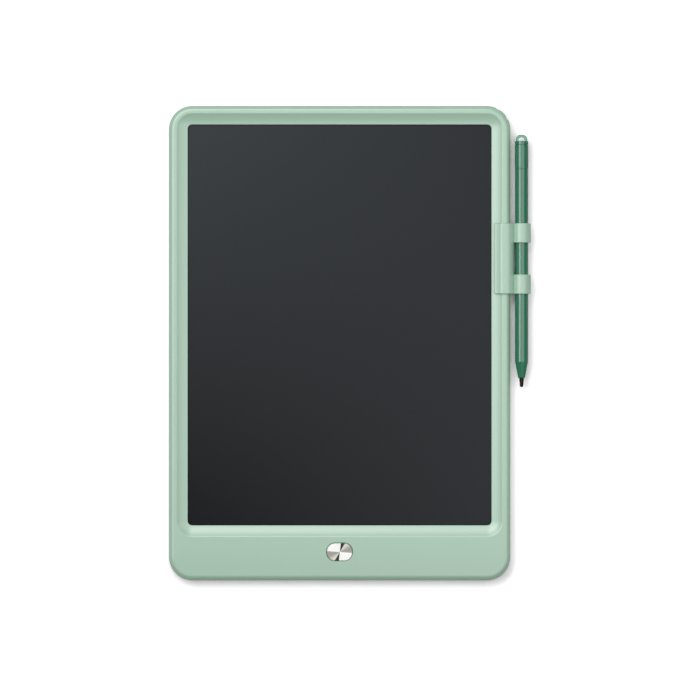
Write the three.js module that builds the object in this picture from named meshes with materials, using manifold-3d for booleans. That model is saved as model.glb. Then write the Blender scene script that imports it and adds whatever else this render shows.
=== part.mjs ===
// A child's liquid-crystal writing board: a moulded frame round a dark writing film, an erase
// button in the chin, a lock slider and a battery door behind, and a stylus in a clip-on holder.
// Millimetres, +X right, +Y towards the top of the board, +Z out of the writing film.
// The origin is the middle of the raised back panel, which the board lies on.
import * as THREE from 'three';
import { mergeVertices } from 'three/addons/utils/BufferGeometryUtils.js';
import Module from 'manifold-3d';

const wasm = await Module();
wasm.setup();

// Outline of the board, seen from the front
const boardWidth = 172.7;
const boardHeight = 240;
const boardCornerRadius = 11.8;
const rimWidth = 4; // flat rim round the edge, outside the cove
const coveWidth = 5.5; // hollow slope from the rim down to the film
const chinHeight = 22.3; // flat band under the cove

// Heights above the table
const frontHeight = 8.2; // flat top of the rim and the chin
const partingHeight = 4.6; // where the front frame meets the back cover
const marginLift = 1.9; // the thin margin of the back stands this far off the table
const coveDepth = 2; // from the rim down to the edge of the window
const windowEdgeThickness = 0.95;

// Front frame
const frameWall = 2.7;
const frontThickness = 1.7;
const edgeRollWidth = 2.6; // the outer edge rolls over to the front in this width
const lowerRollWidth = 2.4; // and under to the back in this one
const landHeight = 0.4; // upright land beside the parting line
const revealDepth = 0.3; // fine groove along the parting line
const creaseWidth = 0.5; // softened edge between rim and cove
const lipWidth = 1; // locating lip that drops into the back cover
const lipDepth = 0.9;
const rootWidth = 4.3; // solid root of the cove round the window
const chinRibThickness = 1;
const chinRibDrop = 0.9;
const chinRibSpacing = 17;

// Back cover
const backWall = 1.5;
const panelInsetX = 13;
const panelInsetY = 3.2;
const panelFlare = 0.8;
const panelCornerRadius = 8.6;
const ribThickness = 1.2;
const stiffeningColumns = 5;
const stiffeningRows = 5;

// Clearances
const seatGap = 0.1; // between pieces that lie on each other
const slipGap = 0.2; // between pieces that slide or drop into each other
const joinDepth = 0.2; // how far a boss or rib melts into the wall that carries it

// Writing film and what lies behind it
const filmOverlap = 2; // hidden under the frame on each side
const filmThickness = 0.5;
const foamThickness = 0.3;
const tailLeft = 3;
const tailWidth = 8;
const tailThickness = 0.2;
const tailLanding = 2.2;

// Screws that hold the case together
const caseScrewRadius = 1;
const caseScrewHeadRadius = 1.8;
const caseScrewHeadHeight = 1;
const caseScrewReach = 3.4;
const caseBossRadius = 2.2;
const caseScrewInset = 4.8;
const upperScrewDrop = 20; // from the top edge
const middleScrewDrop = 115;
const chinScrewInset = 7.4;
const chinScrewRise = 9; // from the bottom edge
const screwPadHeight = 0.6;

// Circuit board and what is soldered to it
const circuitWidth = 62;
const circuitHeight = 13.2;
const circuitThickness = 1;
const circuitShift = 10; // to the right of the middle
const circuitDrop = 4.1; // below the edge of the film
const circuitLift = 1.5; // above the floor of the back cover
const circuitPostRadius = 2;
const circuitPostInset = 6;
const circuitPostRise = 3;
const circuitScrewRadius = 0.75;
const circuitScrewHeadRadius = 1.5;
const circuitScrewHeadHeight = 0.8;
const switchSize = 6;
const switchHeight = 1.05;
const plungerRadius = 1.6;
const plungerRise = 0.5;
const plungerDepth = 0.5;
const chipWidth = 5;
const chipHeight = 4;
const chipThickness = 1.3;
const chipInset = 17; // from the middle of the button
const coilRadius = 2.4;
const coilHeight = 1.9;
const coilInset = 28.5;
const capacitorWidth = 1.2;
const capacitorHeight = 2;
const capacitorThickness = 0.9;
const capacitorInset = 9.8;

// Erase button
const buttonWidth = 12.7;
const buttonHeight = 8.7;
const buttonCornerRadius = 4;
const buttonRise = 14.4; // from the bottom edge of the board
const buttonGap = 0.3;
const buttonProud = 0.3;
const buttonFaceThickness = 0.5;
const buttonFaceChamfer = 0.2;
const buttonFlange = 1.3;
const buttonTravel = 0.4;
const holeChamfer = 0.35;

// Lock slider on the back
const lockInset = 23;
const lockTravel = 2;
const knobLength = 6;
const knobWidth = 3;
const knobRecess = 0.2;
const knobGrooves = 3;
const knobGrooveWidth = 0.6;
const knobGrooveDepth = 0.35;
const slotChamfer = 0.5;
const plateOverlap = 1; // the slider's plate covers its slot by this much all round
const plateThickness = 0.65;
const lockBodyWidth = 6.7;
const lockBodyDepth = 2.8;
const lockBodyHeight = 1.3;
const nubWidth = 1.3;
const nubReach = 1.5;
const nubHeight = 0.6;
const forkWidth = 3.7;
const forkDepth = 1.6;

// Coin cell, its contacts and its door
const cellRadius = 10;
const cellThickness = 1.6;
const cellInset = 15; // left of the circuit board
const cellRise = 22; // from the bottom edge of the board
const bayWall = 1;
const contactThickness = 0.25;
const contactWidth = 3;
const contactLanding = 3; // soldered length on the circuit board
const negativeDrop = 8; // below the middle of the cell
const positiveDrop = 2.5;
const doorWidth = 24;
const doorHeight = 30.4;
const doorThickness = 1.25;
const doorCornerRadius = 2.5;
const doorRecess = 0.1;
const doorLedge = 1.1; // thickness of the rim that the door seats against
const doorFrameWidth = 2.2;
const doorMargin = 2.2; // from the cell to the hinged end of the door
const tabLength = 1.2;
const tabWidth = 4;
const tabThickness = 0.8;
const tabRise = 0.35; // above the inner face of the door
const tabSpacing = 13;
const doorScrewInset = 4.4;
const doorScrewRadius = 0.9;
const doorScrewHeadRadius = 1.7;
const doorScrewHeadHeight = 0.5;
const doorScrewReach = 1.7; // past the inner face of the door
const doorSwing = 30; // degrees that the door tips out on its hooks
const doorSwingGap = 0.35; // round the captive screw, so that it tips out with the door

// Eye for a cord in the top right corner
const eyeRadius = 2.85; // of the middle of the channel, round its bar
const eyeChannelRadius = 1.2;
const eyeWall = 1;
const eyeRoof = 1.1;

// Stylus holder, a channel that grips the edge of the board
const holderLength = 35.7;
const holderDrop = 59.4; // from the top of the board to the top of the holder
const holderArm = 1.2; // thickness over and under the board
const holderSide = 1.7;
const holderFrontReach = 8.35;
const holderBackReach = 7.5;
const holderGap = 0.25;
const loopLength = 9.8;
const loopWall = 1.17;
const loopOverlap = 0.87; // how far the loops melt into the side of the channel
const loopLift = 0.1; // under the loops, off the table

// Stylus
const stylusRadius = 3.275;
const stylusGap = 0.22; // in the loops
const capRadius = 3.36;
const capLength = 13.8;
const capEndRound = 0.35;
const capGrooveInset = 1.5;
const capGrooveWidth = 0.5;
const capGrooveDepth = 0.22;
const stylusLead = 41.6; // from the top of the holder to the end of the cap
const barrelLength = 97.7;
const barrelBore = 1.65;
const spigotRadius = 2.3;
const spigotLength = 6;
const coneLength = 8.2;
const coneEndRadius = 1.8;
const coneEndRound = 0.35;
const nibRadius = 1.1;
const nibTipRadius = 0.7;
const nibLength = 4.7;
const nibShankLength = 8;
const eyeletWidth = 5.8;
const eyeletHeight = 3.2;
const eyeletThickness = 1.8;
const eyeletCornerRadius = 2.2;
const eyeletHoleWidth = 3.1;
const eyeletHoleHeight = 1.9;

// Roundness of the curves
const cornerSteps = 8;
const rollSteps = 6;
const coveSteps = 5;
const screwSides = 16;
const postSides = 20;
const stylusSides = 28;
const cellSides = 40;

// What follows from the sizes above
const halfWidth = boardWidth / 2;
const halfHeight = boardHeight / 2;
const windowInset = rimWidth + coveWidth;
const windowWidth = boardWidth - 2 * windowInset;
const windowTop = halfHeight - windowInset;
const windowBottom = -halfHeight + chinHeight + coveWidth;
const windowHeight = windowTop - windowBottom;
const windowY = (windowTop + windowBottom) / 2;
const windowRadius = boardCornerRadius - windowInset;
const windowEdgeTop = frontHeight - coveDepth;
const windowEdgeUnder = windowEdgeTop - windowEdgeThickness;
const frontUnder = frontHeight - frontThickness;
const marginFloor = marginLift + backWall;
const coverTop = partingHeight - seatGap;
const filmTop = windowEdgeUnder - seatGap;
const filmUnder = filmTop - filmThickness;
const filmBottom = windowBottom - filmOverlap;
const circuitUnder = backWall + circuitLift;
const circuitFace = circuitUnder + circuitThickness;
const solderFace = circuitFace + seatGap / 2;
const circuitTop = filmBottom - circuitDrop;
const circuitLeft = circuitShift - circuitWidth / 2;
const buttonY = buttonRise - halfHeight;

const mint = new THREE.MeshStandardMaterial({ color: 0xacc6b5, roughness: 0.5 });
const darkGreen = new THREE.MeshStandardMaterial({ color: 0x2f7457, roughness: 0.3 });
const filmBlack = new THREE.MeshStandardMaterial({ color: 0x2e3135, roughness: 0.35 });
const nibBlack = new THREE.MeshStandardMaterial({ color: 0x2a2520, roughness: 0.5 });
const spunMetal = new THREE.MeshStandardMaterial({ color: 0xd8d6cf, roughness: 0.25, metalness: 1 });
const steel = new THREE.MeshStandardMaterial({ color: 0xb9bbbd, roughness: 0.3, metalness: 1 });
const foamBlack = new THREE.MeshStandardMaterial({ color: 0x1b1c1e, roughness: 0.9 });
const boardGrey = new THREE.MeshStandardMaterial({ color: 0x6f6c66, roughness: 0.8 });
const circuitGreen = new THREE.MeshStandardMaterial({ color: 0x1f5b3a, roughness: 0.5 });
const moldBlack = new THREE.MeshStandardMaterial({ color: 0x202124, roughness: 0.6 });
const tailAmber = new THREE.MeshStandardMaterial({ color: 0xb0761c, roughness: 0.4 });

const model = new THREE.Group();

// Geometry to solid and back, for cuts and joins
function solid(geometry) {
  const bare = geometry.index ? geometry.toNonIndexed() : geometry.clone();
  bare.deleteAttribute('normal');
  bare.deleteAttribute('uv');
  const merged = mergeVertices(bare, 1e-4);
  return new wasm.Manifold(new wasm.Mesh({
    numProp: 3,
    vertProperties: new Float32Array(merged.attributes.position.array),
    triVerts: new Uint32Array(merged.index.array),
  }));
}

function geometryOf(made) {
  const mesh = made.getMesh();
  const geometry = new THREE.BufferGeometry();
  geometry.setAttribute('position', new THREE.BufferAttribute(mesh.vertProperties, 3));
  geometry.setIndex(new THREE.BufferAttribute(mesh.triVerts, 1));
  geometry.computeVertexNormals();
  return geometry;
}

function join(first, ...others) {
  return others.reduce((whole, next) => whole.add(next), first);
}

function cut(base, ...tools) {
  return tools.reduce((whole, tool) => whole.subtract(tool), base);
}

function addPiece(parent, name, made, material) {
  const mesh = new THREE.Mesh(geometryOf(made), material);
  mesh.name = name;
  parent.add(mesh);
  return mesh;
}

// Points of a rectangle with round corners, anticlockwise
function roundedRectangle(width, height, radius, x = 0, y = 0) {
  const points = [];
  const cornerX = width / 2 - radius;
  const cornerY = height / 2 - radius;
  [[1, 1], [-1, 1], [-1, -1], [1, -1]].forEach(([sideX, sideY], quarter) => {
    for (let step = 0; step <= cornerSteps; step += 1) {
      const angle = (quarter + step / cornerSteps) * Math.PI / 2;
      points.push(new THREE.Vector2(
        x + sideX * cornerX + radius * Math.cos(angle),
        y + sideY * cornerY + radius * Math.sin(angle),
      ));
    }
  });
  return points;
}

function boardOutline(inset) {
  return roundedRectangle(boardWidth - 2 * inset, boardHeight - 2 * inset, boardCornerRadius - inset);
}

function windowOutline(outset) {
  return roundedRectangle(
    windowWidth + 2 * outset, windowHeight + 2 * outset, windowRadius + outset, 0, windowY,
  );
}

// Closed skin through a stack of outlines with equally many points
function loft(rings) {
  const count = rings[0].outline.length;
  const positions = rings.flatMap(({ outline, z }) => outline.flatMap((point) => [point.x, point.y, z]));
  const faces = [];
  for (let level = 0; level < rings.length - 1; level += 1) {
    for (let i = 0; i < count; i += 1) {
      const here = level * count + i;
      const beside = level * count + (i + 1) % count;
      faces.push(here, beside, beside + count, here, beside + count, here + count);
    }
  }
  const last = (rings.length - 1) * count;
  THREE.ShapeUtils.triangulateShape(rings[0].outline, []).forEach(([a, b, c]) => {
    faces.push(a, c, b);
  });
  THREE.ShapeUtils.triangulateShape(rings.at(-1).outline, []).forEach(([a, b, c]) => {
    faces.push(last + a, last + b, last + c);
  });
  const geometry = new THREE.BufferGeometry();
  geometry.setAttribute('position', new THREE.Float32BufferAttribute(positions, 3));
  geometry.setIndex(faces);
  return solid(geometry);
}

function slab(outline, low, high) {
  return loft([{ outline, z: low }, { outline, z: high }]);
}

function box(lowX, highX, lowY, highY, lowZ, highZ) {
  const geometry = new THREE.BoxGeometry(highX - lowX, highY - lowY, highZ - lowZ);
  geometry.translate((lowX + highX) / 2, (lowY + highY) / 2, (lowZ + highZ) / 2);
  return solid(geometry);
}

function post(radius, low, high, x, y, sides = postSides) {
  const geometry = new THREE.CylinderGeometry(radius, radius, high - low, sides);
  geometry.rotateX(Math.PI / 2);
  geometry.translate(x, y, (low + high) / 2);
  return solid(geometry);
}

// Profile of [radius, height] pairs, from the lower end outwards and up, turned about an upright axis
function turnedUpright(profile, sides, x, y) {
  const points = profile.map(([radius, height]) => new THREE.Vector2(radius, height));
  const geometry = new THREE.LatheGeometry(points, sides);
  geometry.rotateX(Math.PI / 2);
  geometry.translate(x, y, 0);
  return solid(geometry);
}

// Outline of [x, z] pairs, pulled from lowY to highY
function pulledAlongY(points, lowY, highY) {
  const shape = new THREE.Shape(points.map(([x, z]) => new THREE.Vector2(x, z)));
  const geometry = new THREE.ExtrudeGeometry(shape, { depth: highY - lowY, bevelEnabled: false });
  geometry.rotateX(Math.PI / 2);
  geometry.translate(0, highY, 0);
  return solid(geometry);
}

// Screw with a flat head; its shank starts at the seat and points up or down
function screw(radius, headRadius, headHeight, reach, seat, direction, x, y) {
  const head = [seat, seat - direction * headHeight].sort((a, b) => a - b);
  const shank = [seat, seat + direction * reach].sort((a, b) => a - b);
  const drive = post(headRadius * 0.45, head[0] - 1, head[1] - headHeight * 0.4, x, y, 6);
  const driveAbove = post(headRadius * 0.45, head[0] + headHeight * 0.4, head[1] + 1, x, y, 6);
  const blank = join(
    post(headRadius, head[0], head[1], x, y, screwSides),
    post(radius, shank[0] - joinDepth, shank[1] + joinDepth, x, y, screwSides),
  );
  return cut(blank, direction > 0 ? drive : driveAbove);
}

// Places shared by the frame, the cover and the screws
const caseScrewPlaces = [-1, 1].flatMap((side) => [
  [side * (halfWidth - caseScrewInset), halfHeight - upperScrewDrop],
  [side * (halfWidth - caseScrewInset), halfHeight - middleScrewDrop],
  [side * (halfWidth - chinScrewInset), chinScrewRise - halfHeight],
]);
const screwPadTop = marginFloor + screwPadHeight;
const caseScrewSeat = marginLift + caseScrewHeadHeight + seatGap;
const caseScrewTip = caseScrewSeat + caseScrewReach;

const eyeX = halfWidth - boardCornerRadius * (1 - Math.SQRT1_2);
const eyeY = halfHeight - boardCornerRadius * (1 - Math.SQRT1_2);
const eyeBlockRadius = eyeRadius + eyeChannelRadius + eyeWall;
const eyeLow = marginLift + eyeWall;
const eyeHigh = frontHeight - eyeRoof;

// The channel behind the bar of the cord eye, partly in the frame and partly in the cover
function eyeChannel() {
  const ring = new THREE.TorusGeometry(eyeRadius, eyeChannelRadius, 10, postSides);
  ring.scale(1, 1, (eyeHigh - eyeLow) / (2 * eyeChannelRadius));
  ring.translate(eyeX, eyeY, (eyeHigh + eyeLow) / 2);
  return solid(ring);
}

// The edge of the board rolls over from the land to the front, and under from it to the back
function rollPoints(width, from, to) {
  const points = [];
  for (let step = 0; step <= rollSteps; step += 1) {
    const angle = step / rollSteps * Math.PI / 2;
    points.push({ inset: width * (1 - Math.cos(angle)), z: from + (to - from) * Math.sin(angle) });
  }
  return points;
}
const upperRoll = rollPoints(edgeRollWidth, partingHeight + landHeight, frontHeight);
const lowerRoll = rollPoints(lowerRollWidth, coverTop - landHeight, marginLift);

// The cove rises slowly from the window and steepens towards the rim
const covePoints = [];
for (let step = 0; step <= coveSteps; step += 1) {
  const share = step / coveSteps;
  covePoints.push({
    outset: (coveWidth - creaseWidth) * share,
    z: windowEdgeTop + (coveDepth - creaseWidth * 0.4) * share * (0.55 + 0.45 * share),
  });
}
covePoints.push({ outset: coveWidth, z: frontHeight });

function frontFrame() {
  const body = loft([
    { outline: boardOutline(revealDepth), z: partingHeight },
    { outline: boardOutline(0), z: partingHeight + revealDepth },
    ...upperRoll.map(({ inset, z }) => ({ outline: boardOutline(inset), z })),
  ]);
  const cove = loft([
    { outline: windowOutline(0), z: windowEdgeUnder - 1 },
    ...covePoints.map(({ outset, z }) => ({ outline: windowOutline(outset), z })),
    { outline: windowOutline(coveWidth), z: frontHeight + 1 },
  ]);
  const seat = slab(boardOutline(frameWall), partingHeight - 1, windowEdgeUnder);
  const channel = cut(
    slab(boardOutline(frameWall), windowEdgeUnder - 0.5, frontUnder),
    slab(windowOutline(rootWidth), windowEdgeUnder - 1, frontUnder + 1),
  );
  const lipInset = backWall + slipGap;
  const lip = cut(
    slab(boardOutline(lipInset), partingHeight - lipDepth, partingHeight + joinDepth),
    slab(boardOutline(lipInset + lipWidth), partingHeight - lipDepth - 1, partingHeight + 1),
  );
  const eyeBlock = post(eyeBlockRadius, partingHeight, frontUnder + joinDepth, eyeX, eyeY, 2 * postSides)
    .intersect(slab(boardOutline(frameWall - joinDepth), partingHeight, frontUnder + joinDepth));
  const bosses = caseScrewPlaces.map(([x, y]) => post(
    caseBossRadius, screwPadTop + seatGap, frontUnder + joinDepth, x, y,
  ));
  const ribs = chinRibPlaces().map((x) => box(
    x - chinRibThickness / 2, x + chinRibThickness / 2,
    frameWall - joinDepth - halfHeight, windowBottom - rootWidth + joinDepth,
    frontUnder - chinRibDrop, frontUnder + joinDepth,
  ));
  const pilots = caseScrewPlaces.map(([x, y]) => post(
    caseScrewRadius + seatGap, screwPadTop - 1, caseScrewTip + joinDepth, x, y, screwSides,
  ));
  const holeOutline = (outset) => roundedRectangle(
    buttonWidth + 2 * outset, buttonHeight + 2 * outset, buttonCornerRadius + outset, 0, buttonY,
  );
  const buttonHole = loft([
    { outline: holeOutline(buttonGap), z: frontUnder - 1 },
    { outline: holeOutline(buttonGap), z: frontHeight - holeChamfer },
    { outline: holeOutline(buttonGap + holeChamfer), z: frontHeight },
    { outline: holeOutline(buttonGap + holeChamfer), z: frontHeight + 1 },
  ]);
  const lipRooms = [
    post(eyeBlockRadius + slipGap, 0, partingHeight, eyeX, eyeY, 2 * postSides),
    ...caseScrewPlaces.map(([x, y]) => post(caseBossRadius + slipGap, 0, screwPadTop + seatGap, x, y)),
  ];
  return cut(
    join(cut(body, cove, seat, channel), cut(lip, ...lipRooms), eyeBlock, ...bosses, ...ribs),
    buttonHole, eyeChannel(), ...pilots,
  );
}

// Short ribs behind the chin, clear of the button and the circuit board
function chinRibPlaces() {
  const places = [];
  const end = halfWidth - chinScrewInset - caseBossRadius - chinRibThickness;
  for (let x = end; x > circuitLeft + circuitWidth; x -= chinRibSpacing) {
    places.push(x, -x);
  }
  return places;
}

// The door of the coin cell, hooked under the cover at its lower end and screwed at its upper
const cellX = circuitLeft - cellInset;
const cellY = cellRise - halfHeight;
const doorUnder = doorRecess;
const doorTop = doorUnder + doorThickness;
const doorSeat = doorTop + seatGap;
const doorLow = cellY - cellRadius - doorMargin;
const doorY = doorLow + doorHeight / 2;
const doorScrewY = doorLow + doorHeight - doorScrewInset;
const tabPlaces = [cellX - tabSpacing / 2, cellX + tabSpacing / 2];
const tabTop = doorTop + tabRise;
const tabUnder = tabTop - tabThickness;
const tabSweep = (tabTop - doorUnder) * Math.sin(THREE.MathUtils.degToRad(doorSwing)) + slipGap;
const cellUnder = doorSeat;
const cellTop = cellUnder + cellThickness;
const contactUnder = cellTop + seatGap;
const negativeY = cellY - negativeDrop;
const positiveY = cellY - positiveDrop;

const doorScrewRoomRadius = doorScrewRadius + doorSwingGap;
const doorOutline = (outset) => roundedRectangle(
  doorWidth + 2 * outset, doorHeight + 2 * outset, doorCornerRadius + outset, cellX, doorY,
);

// The lock slider
const lockY = circuitTop + nubReach / 2 + slipGap;
const knobX = lockInset - lockTravel / 2;
const slotLength = knobLength + lockTravel + 2 * slipGap;
const slotWidth = knobWidth + 2 * slipGap;
const plateLength = slotLength + lockTravel + 2 * plateOverlap;
const plateWidth = slotWidth + 2 * plateOverlap;
const plateUnder = backWall + seatGap;

const circuitPosts = [
  [circuitLeft + circuitPostInset, circuitTop - circuitHeight + circuitPostRise],
  [circuitLeft + circuitWidth - circuitPostInset, circuitTop - circuitHeight + circuitPostRise],
];
const circuitPostTop = circuitUnder - seatGap;

// A thin plate with a raised panel that the board lies on, and a wall that stands up round it
function coverShell() {
  const plate = loft([
    ...lowerRoll.map(({ inset, z }) => ({ outline: boardOutline(inset), z })).reverse(),
    { outline: boardOutline(0), z: coverTop - revealDepth },
    { outline: boardOutline(revealDepth), z: coverTop },
  ]);
  const panelOutline = (outset) => roundedRectangle(
    boardWidth - 2 * (panelInsetX - outset), boardHeight - 2 * (panelInsetY - outset),
    panelCornerRadius + outset,
  );
  const panel = loft([
    { outline: panelOutline(0), z: 0 },
    { outline: panelOutline(panelFlare * 0.4), z: panelFlare * 0.3 },
    { outline: panelOutline(panelFlare), z: marginLift },
    { outline: panelOutline(panelFlare), z: marginLift + joinDepth },
  ]);
  const room = slab(boardOutline(backWall), marginFloor, coverTop + 1);
  const deep = slab(panelOutline(-backWall), backWall, marginFloor + 1);
  return cut(join(plate, panel), room, deep);
}

// Crossed ribs that carry the support plate
function coverRibs() {
  const ribs = [];
  const end = halfWidth - panelInsetX - backWall + joinDepth;
  const low = filmBottom + ribThickness;
  const high = halfHeight - panelInsetY - backWall + joinDepth;
  for (let column = 1; column <= stiffeningColumns; column += 1) {
    const x = end * (2 * column / (stiffeningColumns + 1) - 1);
    ribs.push(box(x - ribThickness / 2, x + ribThickness / 2, low, high, backWall - joinDepth, marginFloor));
  }
  for (let row = 0; row < stiffeningRows; row += 1) {
    const y = low + (high - low) * row / stiffeningRows;
    ribs.push(box(-end, end, y - ribThickness / 2, y + ribThickness / 2, backWall - joinDepth, marginFloor));
  }
  return ribs;
}

function backCover() {
  const pads = caseScrewPlaces.map(([x, y]) => post(
    caseBossRadius, marginFloor - joinDepth, screwPadTop, x, y,
  ));
  const counterbores = caseScrewPlaces.flatMap(([x, y]) => [
    post(caseScrewHeadRadius + slipGap, 0, caseScrewSeat, x, y),
    post(caseScrewRadius + slipGap, 0, screwPadTop + 1, x, y, screwSides),
  ]);
  const eyeBlock = post(eyeBlockRadius, marginFloor - joinDepth, coverTop, eyeX, eyeY, 2 * postSides)
    .intersect(slab(boardOutline(backWall - joinDepth), marginFloor - joinDepth, coverTop));
  const doorFrame = slab(doorOutline(doorFrameWidth), backWall - joinDepth, doorSeat + doorLedge);
  const bayRing = post(
    cellRadius + 2 * slipGap + bayWall, backWall - joinDepth, marginFloor, cellX, cellY, cellSides,
  );
  const screwPost = post(
    doorScrewRoomRadius + bayWall, backWall - joinDepth, marginFloor, cellX, doorScrewY,
  );
  const boardPosts = circuitPosts.map(([x, y]) => post(
    circuitPostRadius, backWall - joinDepth, circuitPostTop, x, y,
  ));
  const boardPilots = circuitPosts.map(([x, y]) => post(
    circuitScrewRadius + seatGap, backWall, circuitPostTop + 1, x, y, screwSides,
  ));

  const doorRoom = slab(doorOutline(slipGap), -1, doorSeat);
  const cellRoom = post(cellRadius + 2 * slipGap, 0, marginFloor + 1, cellX, cellY, cellSides);
  const screwRoom = post(doorScrewRoomRadius, 0, marginFloor + 1, cellX, doorScrewY, screwSides);
  const tabRooms = tabPlaces.map((x) => box(
    x - tabWidth / 2 - slipGap, x + tabWidth / 2 + slipGap,
    doorLow - tabLength - slipGap, doorLow + tabSweep + slipGap, tabUnder - slipGap, marginFloor + 1,
  ));
  const negativeSlot = box(
    cellX, circuitLeft, negativeY - contactWidth / 2 - slipGap, negativeY + contactWidth / 2 + slipGap,
    contactUnder - slipGap, marginFloor + 1,
  );
  const positiveSlot = box(
    cellX, circuitLeft, positiveY - contactWidth / 2 - slipGap, positiveY + contactWidth / 2 + slipGap,
    doorSeat + doorLedge, marginFloor + 1,
  );
  const slotOutline = (outset) => roundedRectangle(
    slotLength + 2 * outset, slotWidth + 2 * outset, slotWidth / 4 + outset, lockInset, lockY,
  );
  const lockSlot = loft([
    { outline: slotOutline(slotChamfer), z: -1 },
    { outline: slotOutline(slotChamfer), z: 0 },
    { outline: slotOutline(0), z: slotChamfer },
    { outline: slotOutline(0), z: backWall + 1 },
  ]);
  return cut(
    join(coverShell(), ...coverRibs(), doorFrame, bayRing, screwPost, ...boardPosts, ...pads, eyeBlock),
    doorRoom, cellRoom, screwRoom, ...tabRooms, negativeSlot, positiveSlot, lockSlot,
    ...counterbores, ...boardPilots, eyeChannel(),
  );
}

addPiece(model, 'front_frame', frontFrame(), mint);
addPiece(model, 'back_cover', backCover(), mint);
caseScrewPlaces.forEach(([x, y], index) => {
  addPiece(model, `case_screw_${index + 1}`, screw(
    caseScrewRadius, caseScrewHeadRadius, caseScrewHeadHeight, caseScrewReach,
    caseScrewSeat - seatGap / 2, 1, x, y,
  ), steel);
});

// Film, foam and support plate, stacked between the ribs of the cover and the edge of the window
const foamTop = filmUnder - seatGap;
const foamUnder = foamTop - foamThickness;
addPiece(model, 'writing_film', slab(windowOutline(filmOverlap), filmUnder, filmTop), filmBlack);
addPiece(model, 'film_foam', slab(windowOutline(filmOverlap), foamUnder, foamTop), foamBlack);
addPiece(model, 'support_plate', slab(
  windowOutline(filmOverlap), marginFloor + seatGap, foamUnder - seatGap,
), boardGrey);
addPiece(model, 'film_tail', filmTail(), tailAmber);

// The flat tail leaves the lower edge of the film and drops to the circuit board
function filmTail() {
  const start = filmBottom - seatGap;
  const bend = circuitTop - seatGap;
  const end = circuitTop - tailLanding;
  const startUnder = filmUnder + seatGap;
  const outline = [
    [start, startUnder],
    [start, startUnder + tailThickness],
    [bend, solderFace + tailThickness],
    [end, solderFace + tailThickness],
    [end, solderFace],
    [bend, solderFace],
  ];
  const strip = new THREE.Shape(outline.map(([y, z]) => new THREE.Vector2(y, z)));
  const geometry = new THREE.ExtrudeGeometry(strip, { depth: tailWidth, bevelEnabled: false });
  geometry.rotateX(Math.PI / 2);
  geometry.rotateZ(Math.PI / 2);
  geometry.translate(tailLeft, 0, 0);
  return solid(geometry);
}

// Circuit board with its switches, chip, coil and capacitors
const circuitScrewHoles = circuitPosts.map(([x, y]) => post(
  circuitScrewRadius + slipGap, circuitUnder - 1, circuitFace + 1, x, y, screwSides,
));
addPiece(model, 'circuit_board', cut(box(
  circuitLeft, circuitLeft + circuitWidth, circuitTop - circuitHeight, circuitTop, circuitUnder, circuitFace,
), ...circuitScrewHoles), circuitGreen);
circuitPosts.forEach(([x, y], index) => {
  addPiece(model, `circuit_screw_${index + 1}`, screw(
    circuitScrewRadius, circuitScrewHeadRadius, circuitScrewHeadHeight,
    circuitFace - backWall - 2 * joinDepth, solderFace, -1, x, y,
  ), steel);
});
const switchTop = solderFace + switchHeight;
addPiece(model, 'erase_switch_body', cut(
  box(-switchSize / 2, switchSize / 2, buttonY - switchSize / 2, buttonY + switchSize / 2, solderFace, switchTop),
  post(plungerRadius + slipGap, solderFace - 1, switchTop + 1, 0, buttonY),
), moldBlack);
addPiece(model, 'controller_chip', box(
  chipInset - chipWidth / 2, chipInset + chipWidth / 2, buttonY - chipHeight / 2, buttonY + chipHeight / 2,
  solderFace, solderFace + chipThickness,
), moldBlack);
addPiece(model, 'boost_coil', post(coilRadius, solderFace, solderFace + coilHeight, coilInset, buttonY), moldBlack);
[-1, 1].forEach((side, index) => {
  const y = buttonY + side * capacitorHeight;
  addPiece(model, `capacitor_${index + 1}`, box(
    capacitorInset - capacitorWidth / 2, capacitorInset + capacitorWidth / 2,
    y - capacitorHeight / 2 + slipGap, y + capacitorHeight / 2 - slipGap,
    solderFace, solderFace + capacitorThickness,
  ), boardGrey);
});

// Erase button: a flanged carrier under the chin, with a spun metal face bonded on it
const plungerTop = switchTop + plungerRise;
const carrierUnder = plungerTop + seatGap / 2;
const flangeTop = frontUnder - seatGap;
const faceTop = frontHeight + buttonProud;
const faceUnder = faceTop - buttonFaceThickness;
const buttonOutline = (outset) => roundedRectangle(
  buttonWidth + 2 * outset, buttonHeight + 2 * outset, buttonCornerRadius + outset, 0, buttonY,
);
addPiece(model, 'erase_switch_plunger', post(
  plungerRadius, switchTop - plungerDepth, plungerTop, 0, buttonY,
), moldBlack);
addPiece(model, 'erase_button_carrier', join(
  slab(buttonOutline(buttonFlange), carrierUnder, flangeTop),
  slab(buttonOutline(-buttonFaceChamfer), flangeTop - joinDepth, faceUnder - seatGap / 2),
), mint);
addPiece(model, 'erase_button_face', loft([
  { outline: buttonOutline(0), z: faceUnder },
  { outline: buttonOutline(0), z: faceTop - buttonFaceChamfer },
  { outline: buttonOutline(-buttonFaceChamfer), z: faceTop },
]), spunMetal);

// Lock slider behind the chin; its fork straddles the nub of a slide switch on the circuit board
const lockBodyBack = circuitTop - slipGap;
const nubUnder = solderFace + (lockBodyHeight - nubHeight) / 2;
addPiece(model, 'lock_switch_body', box(
  lockInset - lockBodyWidth / 2, lockInset + lockBodyWidth / 2, lockBodyBack - lockBodyDepth, lockBodyBack,
  solderFace, solderFace + lockBodyHeight,
), moldBlack);
addPiece(model, 'lock_switch_nub', box(
  knobX - nubWidth / 2, knobX + nubWidth / 2, lockBodyBack + seatGap / 2, lockBodyBack + nubReach,
  nubUnder, nubUnder + nubHeight,
), moldBlack);
addPiece(model, 'lock_slider', lockSlider(), moldBlack);

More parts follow.
